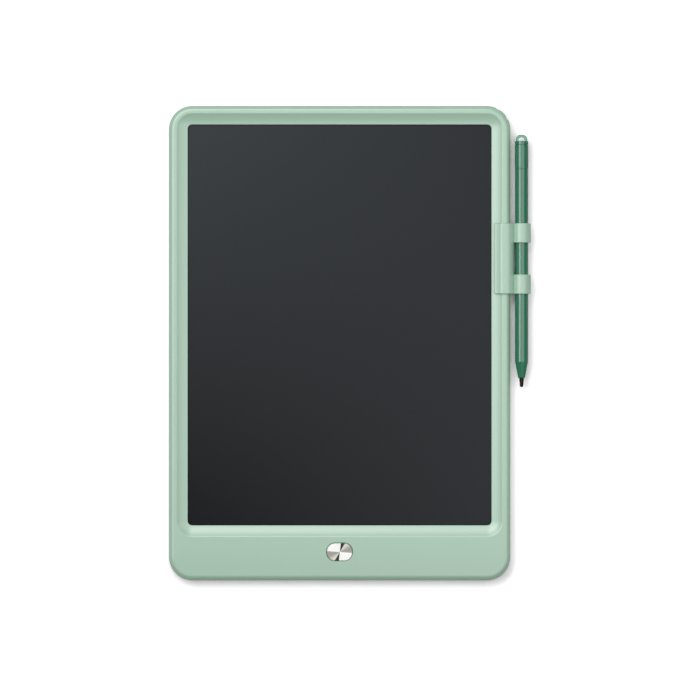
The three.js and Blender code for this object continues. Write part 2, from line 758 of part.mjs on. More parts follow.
function lockSlider() {
  const plate = box(
    knobX - plateLength / 2, knobX + plateLength / 2, lockY - plateWidth / 2, lockY + plateWidth / 2,
    plateUnder, plateUnder + plateThickness,
  );
  const knob = slab(roundedRectangle(
    knobLength, knobWidth, knobWidth / 4, knobX, lockY,
  ), knobRecess, plateUnder + joinDepth);
  const grooves = [];
  for (let groove = 0; groove < knobGrooves; groove += 1) {
    const x = knobX + (groove - (knobGrooves - 1) / 2) * 2 * knobGrooveWidth;
    grooves.push(box(
      x - knobGrooveWidth / 2, x + knobGrooveWidth / 2, lockY - knobWidth, lockY + knobWidth,
      -1, knobRecess + knobGrooveDepth,
    ));
  }
  const forkLow = circuitTop + slipGap;
  const fork = box(
    knobX - forkWidth / 2, knobX + forkWidth / 2, forkLow, forkLow + forkDepth,
    plateUnder + plateThickness - joinDepth, nubUnder + nubHeight,
  );
  const notch = box(
    knobX - nubWidth / 2 - seatGap, knobX + nubWidth / 2 + seatGap, forkLow - 1, forkLow + forkDepth + 1,
    nubUnder - seatGap, nubUnder + nubHeight + 1,
  );
  return cut(join(plate, knob, fork), notch, ...grooves);
}

// Coin cell: a can with a smaller negative cap towards the front
const capStep = 0.2;
addPiece(model, 'coin_cell', turnedUpright([
  [0, cellUnder],
  [cellRadius - capStep, cellUnder],
  [cellRadius, cellUnder + capStep],
  [cellRadius, cellTop - 2 * capStep],
  [cellRadius - capStep, cellTop - capStep],
  [cellRadius * 0.9, cellTop - capStep],
  [cellRadius * 0.87, cellTop],
  [0, cellTop],
], cellSides, cellX, cellY), steel);

// Contacts: soldered on the board, down past its edge, and on to the face or the rim of the cell
function contactPath(lowX, footDepth) {
  const riser = circuitLeft - slipGap - contactThickness;
  const landing = solderFace + contactThickness;
  const runTop = contactUnder + contactThickness;
  return [
    [lowX, contactUnder - footDepth],
    [lowX + contactThickness, contactUnder - footDepth],
    [lowX + contactThickness, contactUnder],
    [riser + contactThickness, contactUnder],
    [riser + contactThickness, solderFace],
    [circuitLeft + contactLanding, solderFace],
    [circuitLeft + contactLanding, landing],
    [riser, landing],
    [riser, runTop],
    [lowX, runTop],
  ];
}
const positiveFoot = cellX + Math.sqrt(cellRadius ** 2 - (positiveDrop - contactWidth / 2) ** 2) + seatGap;
const footReach = contactUnder - doorSeat - doorLedge - seatGap;
addPiece(model, 'contact_positive', pulledAlongY(
  contactPath(positiveFoot, footReach), positiveY - contactWidth / 2, positiveY + contactWidth / 2,
), steel);
addPiece(model, 'contact_negative', pulledAlongY(
  contactPath(cellX, 0).slice(2).concat([[cellX, contactUnder]]),
  negativeY - contactWidth / 2, negativeY + contactWidth / 2,
), steel);

// Battery door with its two hooks and its captive screw
const doorScrewSeat = doorUnder + doorScrewHeadHeight + seatGap;
const doorScrewHoles = [
  post(doorScrewHeadRadius + slipGap, -1, doorScrewSeat, cellX, doorScrewY),
  post(doorScrewRadius + slipGap, -1, doorTop + 1, cellX, doorScrewY, screwSides),
];
const hooks = tabPlaces.flatMap((x) => [
  box(x - tabWidth / 2, x + tabWidth / 2, doorLow - tabLength, doorLow + joinDepth, tabUnder, tabTop),
  box(x - tabWidth / 2, x + tabWidth / 2, doorLow, doorLow + slipGap, tabUnder, tabTop),
]);
addPiece(model, 'battery_door', cut(
  join(slab(doorOutline(0), doorUnder, doorTop), ...hooks), ...doorScrewHoles,
), mint);
addPiece(model, 'battery_door_screw', screw(
  doorScrewRadius, doorScrewHeadRadius, doorScrewHeadHeight, doorTop - doorScrewSeat + doorScrewReach,
  doorScrewSeat - seatGap / 2, 1, cellX, doorScrewY,
), steel);

// Stylus holder: its channel follows the edge of the board, from under the back into the cove
const holderHigh = halfHeight - holderDrop;
const holderLow = holderHigh - holderLength;
const loopRadius = stylusRadius + stylusGap + loopWall;
const stylusX = halfWidth + holderGap + holderSide + loopRadius - loopOverlap;
const stylusZ = loopRadius + loopLift;

function edgeSection() {
  const section = [[halfWidth - holderBackReach, marginLift]];
  lowerRoll.slice().reverse().forEach(({ inset, z }) => section.push([halfWidth - inset, z]));
  upperRoll.forEach(({ inset, z }) => section.push([halfWidth - inset, z]));
  covePoints.slice().reverse().forEach(({ outset, z }) => {
    const inset = windowInset - outset;
    if (inset < holderFrontReach) section.push([halfWidth - inset, z]);
  });
  return section.map(([x, z]) => new THREE.Vector2(x, z));
}

// Moves each point of a path outwards, by one distance on upright stretches and another on flat ones
function movedOut(path, sideDistance, flatDistance) {
  return path.map((point, index) => {
    const before = path[Math.max(index - 1, 0)];
    const after = path[Math.min(index + 1, path.length - 1)];
    const along = after.clone().sub(before).normalize();
    const distance = sideDistance * along.y ** 2 + flatDistance * along.x ** 2;
    return [point.x + along.y * distance, point.y - along.x * distance];
  });
}

function penHolder() {
  const section = edgeSection();
  const inner = movedOut(section, holderGap, holderGap);
  const outer = movedOut(section, holderGap + holderSide, holderGap + holderArm);
  const channel = pulledAlongY(outer.concat(inner.reverse()), holderLow, holderHigh);
  const ring = (radius, low, high) => {
    const geometry = new THREE.CylinderGeometry(radius, radius, high - low, stylusSides);
    geometry.translate(stylusX, (low + high) / 2, stylusZ);
    return solid(geometry);
  };
  return cut(
    join(
      channel,
      ring(loopRadius, holderHigh - loopLength, holderHigh),
      ring(loopRadius, holderLow, holderLow + loopLength),
    ),
    ring(stylusRadius + stylusGap, holderLow - 1, holderHigh + 1),
  );
}
addPiece(model, 'pen_holder', penHolder(), mint);

// Stylus, turned about an axis along the board's side; heights below run along that axis
const stylus = new THREE.Group();
stylus.position.set(stylusX, holderHigh + stylusLead, stylusZ);
model.add(stylus);

function turnedAlong(profile) {
  const points = profile.map(([radius, height]) => new THREE.Vector2(radius, height));
  return solid(new THREE.LatheGeometry(points, stylusSides));
}

const barrelTop = -capLength - seatGap;
const barrelEnd = barrelTop - barrelLength;
const coneEnd = barrelEnd - coneLength;
const nibBore = nibRadius + seatGap;
addPiece(stylus, 'stylus_barrel', turnedAlong([
  [nibBore, coneEnd],
  [coneEndRadius - coneEndRound, coneEnd],
  [coneEndRadius, coneEnd + coneEndRound],
  [stylusRadius, barrelEnd],
  [stylusRadius, barrelTop],
  [spigotRadius, barrelTop],
  [spigotRadius, barrelTop + spigotLength],
  [barrelBore, barrelTop + spigotLength],
  [barrelBore, barrelEnd],
  [nibBore, barrelEnd - coneLength / 4],
  [nibBore, coneEnd],
]), darkGreen);
addPiece(stylus, 'stylus_nib', turnedAlong([
  [0, coneEnd - nibLength],
  [nibTipRadius * 0.6, coneEnd - nibLength],
  [nibTipRadius, coneEnd - nibLength + nibTipRadius * 0.5],
  [nibRadius, coneEnd - seatGap],
  [nibRadius, coneEnd + nibShankLength],
  [0, coneEnd + nibShankLength],
]), nibBlack);

function stylusCap() {
  const bore = spigotRadius + seatGap;
  const groove = -capGrooveInset;
  const body = turnedAlong([
    [bore, -capLength],
    [capRadius, -capLength],
    [capRadius, groove - capGrooveWidth],
    [capRadius - capGrooveDepth, groove - capGrooveWidth],
    [capRadius - capGrooveDepth, groove],
    [capRadius, groove],
    [capRadius, -capEndRound],
    [capRadius - capEndRound, 0],
    [0, 0],
    [0, -capLength + spigotLength + slipGap],
    [bore, -capLength + spigotLength + slipGap],
    [bore, -capLength],
  ]);
  const half = eyeletWidth / 2;
  const arch = new THREE.Shape();
  arch.moveTo(-half, -joinDepth);
  arch.lineTo(half, -joinDepth);
  arch.lineTo(half, eyeletHeight - eyeletCornerRadius);
  arch.absarc(half - eyeletCornerRadius, eyeletHeight - eyeletCornerRadius, eyeletCornerRadius, 0, Math.PI / 2);
  arch.absarc(eyeletCornerRadius - half, eyeletHeight - eyeletCornerRadius, eyeletCornerRadius, Math.PI / 2, Math.PI);
  const hole = new THREE.Path();
  const holeHalf = eyeletHoleWidth / 2;
  hole.moveTo(holeHalf, -joinDepth / 2);
  hole.lineTo(-holeHalf, -joinDepth / 2);
  hole.absarc(0, eyeletHoleHeight - holeHalf, holeHalf, Math.PI, 0, true);
  arch.holes.push(hole);
  const eyelet = new THREE.ExtrudeGeometry(arch, {
    depth: eyeletThickness, bevelEnabled: false, curveSegments: cornerSteps,
  });
  eyelet.translate(0, 0, -eyeletThickness / 2);
  return join(body, solid(eyelet));
}
addPiece(stylus, 'stylus_cap', stylusCap(), darkGreen);

export default model;
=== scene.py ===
# A liquid-crystal writing board with a rimmed frame, an erase button and a stylus in a clip-on
# holder. New pieces are drawn in millimetres and brought to metres as each one is settled.
import math

import bpy
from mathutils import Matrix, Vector


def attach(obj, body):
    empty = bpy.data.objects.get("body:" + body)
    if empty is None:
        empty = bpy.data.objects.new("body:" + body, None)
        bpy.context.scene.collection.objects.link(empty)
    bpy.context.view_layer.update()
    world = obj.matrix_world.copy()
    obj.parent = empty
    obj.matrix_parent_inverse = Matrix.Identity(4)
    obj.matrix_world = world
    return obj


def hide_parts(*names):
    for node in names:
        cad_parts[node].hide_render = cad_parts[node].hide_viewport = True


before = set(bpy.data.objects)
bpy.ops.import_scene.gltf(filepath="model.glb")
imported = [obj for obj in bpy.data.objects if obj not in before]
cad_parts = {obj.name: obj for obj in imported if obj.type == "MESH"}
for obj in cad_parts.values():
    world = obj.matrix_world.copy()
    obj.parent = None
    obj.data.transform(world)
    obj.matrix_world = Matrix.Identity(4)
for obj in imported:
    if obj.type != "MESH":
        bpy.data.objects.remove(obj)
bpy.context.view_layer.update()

# Camera, floor and lights
# The camera hangs straight over the board, far enough away for its sides not to show. Soft boxes
# stand round it, brightest at the left and over the top edge, and the floor is white.
picture_width = 0.35385  # metres across the picture at the front of the frame
picture_middle = (0.00527, -0.00349)
front_height = 0.0082
camera_height = 3.0
sensor_width = 36
bpy.ops.object.camera_add(location=(*picture_middle, camera_height), rotation=(0, 0, 0))
camera = bpy.context.object
camera.name = "camera"
camera.data.sensor_width = sensor_width
camera.data.lens = sensor_width * (camera_height - front_height) / picture_width
bpy.context.scene.camera = camera
bpy.context.scene.view_settings.view_transform = "Standard"


def soft_box(name, across, along, sides, radiance, reach):
    """A rectangular lamp at these degrees from straight up, towards the right and the top."""
    direction = Vector((math.tan(math.radians(across)), math.tan(math.radians(along)), 1))
    direction.normalize()
    bpy.ops.object.light_add(type="AREA", location=direction * reach)
    lamp = bpy.context.object
    lamp.name = name
    lamp.rotation_mode = "QUATERNION"
    lamp.rotation_quaternion = direction.to_track_quat("Z", "Y")
    lamp.data.shape = "RECTANGLE"
    lamp.data.size, lamp.data.size_y = (
        2 * reach * math.tan(math.radians(side / 2)) for side in sides)
    lamp.data.energy = radiance * math.pi * lamp.data.size * lamp.data.size_y
    lamp.visible_camera = False


soft_box("left_light", -29, 10, (34, 28), 3.0, 1.2)
soft_box("top_light", -15, 35, (36, 24), 3.9, 2.0)
soft_box("right_light", 25, 2, (40, 54), 1.15, 0.6)


class Flow:
    """The output of a shader node, to which Python's operators add Math nodes."""

    def __init__(self, finish, socket):
        self.finish = finish
        self.socket = socket

    def math(self, operation, *others):
        inputs = dict(enumerate((self, *others)))
        return self.finish.add("ShaderNodeMath", {"operation": operation}, inputs)["Value"]

    def __add__(self, other):
        return self.math("ADD", other)

    def __sub__(self, other):
        return self.math("SUBTRACT", other)

    def __rsub__(self, other):
        return self * -1 + other

    def __mul__(self, other):
        return self.math("MULTIPLY", other)

    def __truediv__(self, other):
        return self.math("DIVIDE", other)

    def rising(self, low, high):
        """0 up to low, 1 from high on, and smooth between them."""
        return self.finish.add(
            "ShaderNodeMapRange", {"interpolation_type": "SMOOTHSTEP"},
            {"Value": self, "From Min": low, "From Max": high},
        )["Result"]

    def mix(self, first, second):
        """One colour where this is 0 and the other where it is 1."""
        inputs = {"Factor": self, 6: first, 7: second}
        return self.finish.add("ShaderNodeMix", {"data_type": "RGBA"}, inputs)[2]


class Finish:
    """The node tree of a material or of the world."""

    def __init__(self, name, owner=None):
        self.owner = owner or bpy.data.materials.new(name)
        self.owner.use_nodes = True
        self.tree = self.owner.node_tree
        self.tree.nodes.clear()

    def add(self, kind, settings, inputs):
        node = self.tree.nodes.new(kind)
        for name, value in settings.items():
            setattr(node, name, value)
        for name, value in inputs.items():
            if isinstance(value, Flow):
                self.tree.links.new(value.socket, node.inputs[name])
            else:
                node.inputs[name].default_value = value
        outputs = [Flow(self, socket) for socket in node.outputs]
        return {**dict(enumerate(outputs)), **{flow.socket.name: flow for flow in outputs}}

    def place(self, middle=(0, 0, 0), scale=(1, 1, 1)):
        """Object coordinates, from this middle, in metres or stretched by a scale."""
        coordinates = self.add("ShaderNodeTexCoord", {}, {})["Object"]
        shift = [-value * factor for value, factor in zip(middle, scale)]
        inputs = {"Vector": coordinates, "Location": shift, "Scale": scale}
        return self.add("ShaderNodeMapping", {}, inputs)[0]

    def axes(self, middle=(0, 0, 0)):
        parts = self.add("ShaderNodeSeparateXYZ", {}, {"Vector": self.place(middle)})
        return parts["X"], parts["Y"], parts["Z"]

    def noise(self, size, detail=2.0, scale=(1, 1, 1)):
        """Soft noise from 0 to 1, in blotches of about this size in metres."""
        inputs = {"Vector": self.place(scale=scale), "Scale": 1 / size, "Detail": detail}
        return self.add("ShaderNodeTexNoise", {}, inputs)["Fac"]

    def bump(self, height, depth):
        return self.add("ShaderNodeBump", {}, {"Height": height, "Distance": depth})["Normal"]

    def surface(self, inputs):
        shader = self.add("ShaderNodeBsdfPrincipled", {}, inputs)["BSDF"]
        self.add("ShaderNodeOutputMaterial", {}, {"Surface": shader})
        return self.owner


def srgb(red, green, blue):
    """A colour of 0 to 255 a channel, as a picture has it, in linear light."""
    return (*(((value / 255 + 0.055) / 1.055) ** 2.4 for value in (red, green, blue)), 1.0)


sky_strength = 0.3
sky_in_gloss = 0.1  # dimmer in reflections, so that the shaded sides of glossy pieces stay dark
sky = Finish("sky", bpy.data.worlds.new("sky"))
bpy.context.scene.world = sky.owner
sky_rays = sky.add("ShaderNodeLightPath", {}, {})
glow = sky.add("ShaderNodeBackground", {}, {
    "Color": (1, 1, 1, 1),
    "Strength": sky_strength - sky_rays["Is Glossy Ray"] * (sky_strength - sky_in_gloss),
})[0]
sky.add("ShaderNodeOutputWorld", {}, {"Surface": glow})

floor_size = 30
floor_drop = 0.0001  # just clear of the panel that lies on it
floor_seen = (1.36, 1.33, 1.35, 1)  # by the camera
floor_in_gloss = (0.3, 0.3, 0.3, 1)
floor_in_light = (1.0, 1.0, 1.0, 1)
bpy.ops.object.select_all(action="DESELECT")
bpy.ops.mesh.primitive_plane_add(size=floor_size, location=(0, 0, -floor_drop))
floor = bpy.context.object
floor.name = "floor"
paper = Finish("white_paper")
rays = paper.add("ShaderNodeLightPath", {}, {})
floor.data.materials.append(paper.surface({
    "Base Color": rays["Is Camera Ray"].mix(
        rays["Is Glossy Ray"].mix(floor_in_light, floor_in_gloss), floor_seen),
    "Roughness": 1.0,
    "Specular IOR Level": 0.0,
}))

# Front frame, of satin mint plastic
# One thin moulding, with a rolled outer edge, a flat rim, a hollow cove down to the window, and a
# chin with a hole for the erase button. A corner holds half of an eye for a cord.
mint = Finish("mint_plastic")
mint_grain = mint.noise(0.00016)
# Painted shade: from 97 mm below the board's middle the mint fades a little darker, fully so from
# 119 mm, standing in for light that falls off towards the low edge of the chin.
painted_chin_shade = mint.axes()[1].rising(-0.119, -0.097)
mint_plastic = mint.surface({
    "Base Color": painted_chin_shade.mix(srgb(159, 193, 171), srgb(164, 199, 176)),
    "Roughness": mint_grain * 0.06 + 0.36,
    "Specular IOR Level": 1.0,
    "IOR": 1.73,
    "Normal": mint.bump(mint_grain, 0.000006),
})

millimetre = 0.001
board_width = 172.7
board_height = 240.0
corner_radius = 11.8
parting = 4.6  # where the front frame meets the back cover
seam = 0.3  # chamfer of both shells where they meet
front = 8.2
front_roll = (2.6, 5.0, front)  # width of the rolled edge, and the heights of its start and end
frame_wall = 2.7
frame_roof = 1.7
overlap = 0.2  # how far an added form reaches into the plastic that it grows from
window_width = 153.8
window_height = 202.9
window_middle = 9.2
window_corner = 2.3
window_edge = 6.06
window_under = 5.25
window_root = 4.3  # width of the solid plastic round the window
cove_width = 5.56
cove_slope = 0.45  # at the window, as a share of a straight cove's slope
cove_steps = 14
crease = 0.33  # half the width of the softened line between rim and cove
crease_drop = 0.19
crease_steps = 4
button_middle = -105.6
button_width = 12.7
button_height = 8.7
button_corner = 4.0
button_gap = 0.28
hole_lip = 0.35
eye_middle = (82.894, 116.544)
eye_height = 5.0
eye_block_radius = 5.05
mouth_reach = 2.45  # from the eye's middle to a mouth, across as well as along the board
mouth_shift = 0.2  # of both mouths, towards the corner


def alone(piece):
    """Selects this piece alone and makes it the active one."""
    bpy.ops.object.select_all(action="DESELECT")
    piece.select_set(True)
    bpy.context.view_layer.objects.active = piece


def added(name, scale=(1, 1, 1)):
    """Names the primitive just added, and applies its place and this scale to its mesh."""
    piece = bpy.context.object
    piece.name = name
    piece.scale = scale
    bpy.ops.object.transform_apply(location=True, rotation=True, scale=True)
    return piece


def all_faces(piece):
    """Opens a piece in edit mode with all its faces selected."""
    alone(piece)
    bpy.ops.object.mode_set(mode="EDIT")
    bpy.ops.mesh.select_mode(type="FACE")
    bpy.ops.mesh.select_all(action="SELECT")


def climb(rings, sign):
    """Draws the selected flat face on from ring to ring, each an (inset, height)."""
    for (inset, height), (next_inset, next_height) in zip(rings, rings[1:]):
        bpy.ops.mesh.inset(thickness=next_inset - inset, depth=(next_height - height) * sign)


def moulded(name, width, height, corner, rings, x=0, y=0, under=()):
    """A plate with round corners that goes through rings of (inset, height), then, on the other
    face, through those under it. The rings may go up or down."""
    bpy.ops.object.select_all(action="DESELECT")
    first_inset, start = rings[0]
    bpy.ops.mesh.primitive_plane_add(size=1, location=(x, y, start))
    piece = added(name, (width - 2 * first_inset, height - 2 * first_inset, 1))
    all_faces(piece)
    bpy.ops.mesh.bevel(offset=corner - first_inset, segments=20, affect="VERTICES")
    bpy.ops.mesh.select_all(action="SELECT")
    sign = 1 if rings[-1][1] > start else -1
    if sign < 0:
        bpy.ops.mesh.flip_normals()
    climb(rings, sign)
    bpy.ops.mesh.select_all(action="DESELECT")
    bpy.ops.mesh.select_mode(type="EDGE")
    bpy.ops.mesh.select_non_manifold()
    bpy.ops.mesh.edge_face_add()
    bpy.ops.mesh.select_all(action="SELECT")
    bpy.ops.mesh.normals_make_consistent(inside=False)
    bpy.ops.mesh.select_mode(type="FACE")
    bpy.ops.mesh.select_all(action="DESELECT")
    if under:
        bpy.ops.object.mode_set(mode="OBJECT")
        for face in piece.data.polygons:
            face.select = abs(face.normal.z) > 0.99 and abs(face.center.z - start) < 1e-4
        bpy.ops.object.mode_set(mode="EDIT")
        climb([rings[0], *under], -sign)
    bpy.ops.object.mode_set(mode="OBJECT")
    return piece


def post(name, radius, low, high, x, y):
    bpy.ops.object.select_all(action="DESELECT")
    bpy.ops.mesh.primitive_cylinder_add(
        vertices=72, radius=radius, depth=high - low, location=(x, y, (low + high) / 2))
    return added(name)


def modified(piece, kind, **settings):
    """Gives a piece a modifier and applies it."""
    alone(piece)
    modifier = piece.modifiers.new(kind.lower(), kind)
    for name, value in settings.items():
        setattr(modifier, name, value)
    bpy.ops.object.modifier_apply(modifier=modifier.name)
    return piece


def combined(operation, piece, *tools):
    """Adds tools to a piece, cuts them out or keeps what is common, and removes them."""
    for tool in tools:
        modified(piece, "BOOLEAN", operation=operation, object=tool, solver="EXACT")
        bpy.data.objects.remove(tool)
    return piece


def settle(piece, body, material, slot, *replaced, smooth=35):
    """Brings a finished piece to metres, smooths it and hangs it on its body."""
    alone(piece)
    piece.scale = (millimetre, millimetre, millimetre)
    bpy.ops.object.transform_apply(location=True, rotation=True, scale=True)
    bpy.ops.object.shade_smooth_by_angle(angle=math.radians(smooth))
    modified(piece, "WEIGHTED_NORMAL", keep_sharp=True)
    piece.data.materials.clear()
    piece.data.materials.append(material)
    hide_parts(*replaced)
    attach(piece, body)
    return piece


def quarter(steps):
    """The angles of a quarter turn taken in this many steps."""
    return [step / steps * math.pi / 2 for step in range(steps + 1)]


def roll(width, start, end, steps=14):
    """Rings of a quarter ellipse, from an upright wall to a flat face."""
    return [(width * (1 - math.cos(turn)), start + (end - start) * math.sin(turn))
            for turn in quarter(steps)]


def lipped(depth, lip, reach):
    """Rings of a hole's tool that starts 1 mm outside a face, rounds its lip and ends at reach."""
    sign = 1 if reach > depth else -1
    edge = [(lip * math.sin(turn), depth + sign * lip * (1 - math.cos(turn)))
            for turn in quarter(5)]
    return [(0, depth - sign), *edge, (lip, reach)]


def cove_height(share):
    """Height of the cove from the window, at 0, to the crease, at 1."""
    rise = share * (cove_slope + (1 - cove_slope) * share)
    return window_edge + (front - window_edge - crease_drop) * rise


cove_reach = cove_width + crease
creased = [(2 * crease * step / crease_steps, front - crease_drop * (step / crease_steps) ** 2)
           for step in range(crease_steps + 1)]
cove_rings = [(0, front + 1), *creased]
cove_rings += [
    (2 * crease + (cove_width - crease) * step / cove_steps, cove_height(1 - step / cove_steps))
    for step in range(1, cove_steps + 1)]
cove_rings.append((cove_rings[-1][0], window_under - 2))


def window_plate(name, outset, rings):
    return moulded(name, window_width + 2 * outset, window_height + 2 * outset,
                   window_corner + outset, rings, y=window_middle)


def board_plate(name, inset, rings, under=()):
    return moulded(name, board_width - 2 * inset, board_height - 2 * inset, corner_radius - inset,
                   rings, under=under)


def button_plate(name, outset, rings):
    return moulded(name, button_width + 2 * outset, button_height + 2 * outset,
                   button_corner + outset, rings, y=button_middle)


def eye_channel():
    """The channel behind the bar of the cord eye, with its two mouths. One half is in the frame and
    one in the cover."""
    bpy.ops.object.select_all(action="DESELECT")
    bpy.ops.mesh.primitive_torus_add(
        major_radius=2.85, minor_radius=1.2, major_segments=72, minor_segments=28,
        location=(*eye_middle, eye_height))
    channel = added("eye_channel", (1, 1, 1.25))
    for along in (-mouth_reach, mouth_reach):
        bpy.ops.object.select_all(action="DESELECT")
        bpy.ops.mesh.primitive_uv_sphere_add(
            segments=40, ring_count=20, radius=1.5,
            location=(eye_middle[0] + along + mouth_shift, eye_middle[1] - along + mouth_shift,
                      eye_height))
        combined("UNION", channel, added("eye_mouth", (1, 1, 2.1)))
    return channel


front_frame = board_plate(
    "front_frame_shell", 0, [(0, parting + seam), *roll(*front_roll)], under=[(seam, parting)])
hollow = combined(
    "DIFFERENCE",
    board_plate("frame_hollow", frame_wall, [(0, parting - 1), (0, front - frame_roof)]),
    window_plate("cove_root", window_root, [(0, window_under), (0, front)]))
combined("DIFFERENCE", front_frame, hollow, window_plate("cove_tool", cove_reach, cove_rings))
eye_block = combined(
    "INTERSECT",
    post("frame_eye_block", eye_block_radius, parting, front - frame_roof + overlap, *eye_middle),
    board_plate("eye_block_trim", frame_wall - overlap, [(0, parting - 1), (0, front)]))
combined("UNION", front_frame, eye_block)
combined(
    "DIFFERENCE", front_frame, eye_channel(),
    button_plate("button_hole", button_gap + hole_lip, lipped(front, hole_lip, parting - 1)))
settle(front_frame, "board", mint_plastic, "mint_plastic", "front_frame")

# Back cover
# A thin tray with a raised panel that the board lies on. It has deep holes for six screws in its
# margin, a slot for the lock slider, and a bay for the coin cell with a ledge for its door.
cover_top = 4.5
cover_margin = 1.9  # height of the margin round the raised panel
back_roll = (2.4, 4.1, cover_margin)
cover_wall = 1.5
margin_floor = 3.4  # the cover's inner face over its margin
panel_floor = 1.5  # and over its raised panel
panel_width = 148.3
panel_height = 235.2
panel_corner = 9.4
panel_wall = 2.3
clear = 5  # a height clear of the cover, where what cuts through it ends
cell_middle = (-36.0, -98.0)
door_middle = -95.0
door_width = 24.0
door_height = 30.4
door_corner = 2.5
door_screw = (-36.0, -84.2)
hook_places = (-42.5, -29.5)
lock_middle = (23.0, -97.35)
screw_places = [(side * x, y) for side in (-1, 1)
                for x, y in ((81.55, 100), (81.55, 5), (78.95, -111))]


def block(name, low, high):
    bpy.ops.object.select_all(action="DESELECT")
    bpy.ops.mesh.primitive_cube_add(size=1, location=[(a + b) / 2 for a, b in zip(low, high)])
    return added(name, [b - a for a, b in zip(low, high)])


def panel_plate(name, inset, rings):
    return moulded(name, panel_width - 2 * inset, panel_height - 2 * inset, panel_corner - inset,
                   rings)


def door_plate(name, outset, rings):
    return moulded(name, door_width + 2 * outset, door_height + 2 * outset, door_corner + outset,
                   rings, x=cell_middle[0], y=door_middle)


back_cover = board_plate(
    "back_cover_shell", 0, [(0, cover_top - seam), *roll(*back_roll)], under=[(seam, cover_top)])
combined("UNION", back_cover, panel_plate("raised_panel", 0, [
    (0, cover_margin + overlap), (0, cover_margin), (0.25, 1.2), (0.42, 0.55), (0.5, 0.25),
    (0.57, 0.11), (0.68, 0.03), (0.82, 0)]))
combined(
    "DIFFERENCE", back_cover,
    board_plate("cover_room", cover_wall, [(0, margin_floor), (0, clear + 1)]),
    panel_plate("panel_room", panel_wall, [(0, panel_floor), (0, clear + 1)]))
eye_block = combined(
    "INTERSECT",
    post("cover_eye_block", eye_block_radius, margin_floor - overlap, cover_top, *eye_middle),
    board_plate("eye_block_trim", cover_wall - overlap, [(0, 3), (0, clear)]))
combined(
    "UNION", back_cover, eye_block,
    door_plate("door_ledge", 2.2, [(0, panel_floor - overlap), (0, 2.55)]),
    post("bay_ring", 11.4, panel_floor - overlap, margin_floor, *cell_middle),
    post("door_screw_post", 2.25, panel_floor - overlap, margin_floor, *door_screw),
    *(post("screw_pad", 2.2, margin_floor - overlap, 4.0, *place) for place in screw_places))
combined(
    "DIFFERENCE", back_cover, eye_channel(), door_plate("door_room", 0.45, lipped(0, 0.25, 1.45)),
    post("cell_room", 10.4, 0, clear, *cell_middle),
    post("door_screw_room", 1.25, 0, clear, *door_screw),
    *(block("hook_room", (x - 2.2, -111.6, 0.7), (x + 2.2, -109, clear)) for x in hook_places),
    block("negative_room", (-36, -107.7, 2.95), (-21, -104.3, clear)),
    block("positive_room", (-36, -102.2, 2.55), (-21, -98.8, clear)),
    moulded("lock_slot", 9.2, 4.2, 1.25, lipped(0, 0.4, 3), *lock_middle),
    *(post("counterbore", 2.0, 0, 3.0, *place) for place in screw_places),
    *(post("screw_hole", 1.2, 0, clear, *place) for place in screw_places))
settle(back_cover, "board", mint_plastic, "mint_plastic", "back_cover")

# Case screws, of plated steel
# Six small screws with domed heads and crossed drives hold the two shells together from behind.
steel = Finish("plated_steel")
steel_grain = steel.noise(0.00012, scale=(1, 1, 6))
plated_steel = steel.surface({
    "Base Color": steel.noise(0.002).mix(srgb(176, 177, 180), srgb(198, 199, 202)),
    "Metallic": 1.0,
    "Roughness": steel_grain * 0.14 + 0.22,
    "Normal": steel.bump(steel_grain, 0.000004),
})


def outlined(name, start, moves):
    """A line that starts at one point and is drawn on by each move, left open in edit mode."""
    bpy.ops.object.select_all(action="DESELECT")
    bpy.ops.mesh.primitive_plane_add(size=0.1, location=start)
    piece = added(name)
    bpy.ops.object.mode_set(mode="EDIT")
    bpy.ops.mesh.select_mode(type="VERT")
    bpy.ops.mesh.select_all(action="SELECT")
    bpy.ops.mesh.merge(type="CENTER")
    for move in moves:
        bpy.ops.mesh.extrude_region_move(TRANSFORM_OT_translate={"value": move})
    bpy.ops.mesh.select_all(action="SELECT")
    return piece


def turned(name, profile, x, y, z, axis="Y", sides=96):
    """A profile of (radius, height) points, drawn point by point and spun about an axis."""
    points = [Vector((x + radius, y + height, z) if axis == "Y" else (x + radius, y, z + height))
              for radius, height in profile]
    piece = outlined(name, points[0], [end - start for start, end in zip(points, points[1:])])
    bpy.ops.mesh.spin(
        steps=sides, angle=2 * math.pi, center=(x, y, z),
        axis=(0, 1, 0) if axis == "Y" else (0, 0, 1))
    bpy.ops.mesh.select_all(action="SELECT")
    bpy.ops.mesh.remove_doubles(threshold=0.0005)
    bpy.ops.mesh.normals_make_consistent(inside=False)
    bpy.ops.object.mode_set(mode="OBJECT")
    return piece


def screw(name, x, y, radius, head_radius, head, seat, tip):
    """A screw driven from below, with its head under the seat."""
    low = seat - head
    dome = [(head_radius * math.sin(turn), low + head * 0.5 * (1 - math.cos(turn)))
            for turn in quarter(8)]
    piece = turned(name, [
        *dome, (head_radius, seat), (radius, seat), (radius, tip - 0.5), (radius * 0.4, tip),
        (0, tip),
    ], x, y, 0, axis="Z", sides=48)
    arm = head_radius * 0.55
    half = head_radius * 0.11
    combined(
        "DIFFERENCE", piece,
        block("drive", (x - arm, y - half, low - 1), (x + arm, y + half, low + head * 0.6)),
        block("drive", (x - half, y - arm, low - 1), (x + half, y + arm, low + head * 0.6)))
    return piece


def moved_copy(piece, name, move):
    """A copy with its own mesh, moved by millimetres."""
    twin = piece.copy()
    twin.data = piece.data.copy()
    twin.name = name
    bpy.context.collection.objects.link(twin)
    all_faces(twin)
    bpy.ops.transform.translate(value=move)
    bpy.ops.object.mode_set(mode="OBJECT")
    return twin


first_x, first_y = screw_places[0]
case_screw = screw(
    "case_screw", first_x, first_y, radius=1.0, head_radius=1.8, head=1.0, seat=2.95, tip=6.3)
for number, (x, y) in enumerate(screw_places, 1):
    twin = moved_copy(case_screw, f"case_screw_{number}_turned", (x - first_x, y - first_y, 0))
    settle(twin, "board", plated_steel, "steel", f"case_screw_{number}", smooth=30)
bpy.data.objects.remove(case_screw)

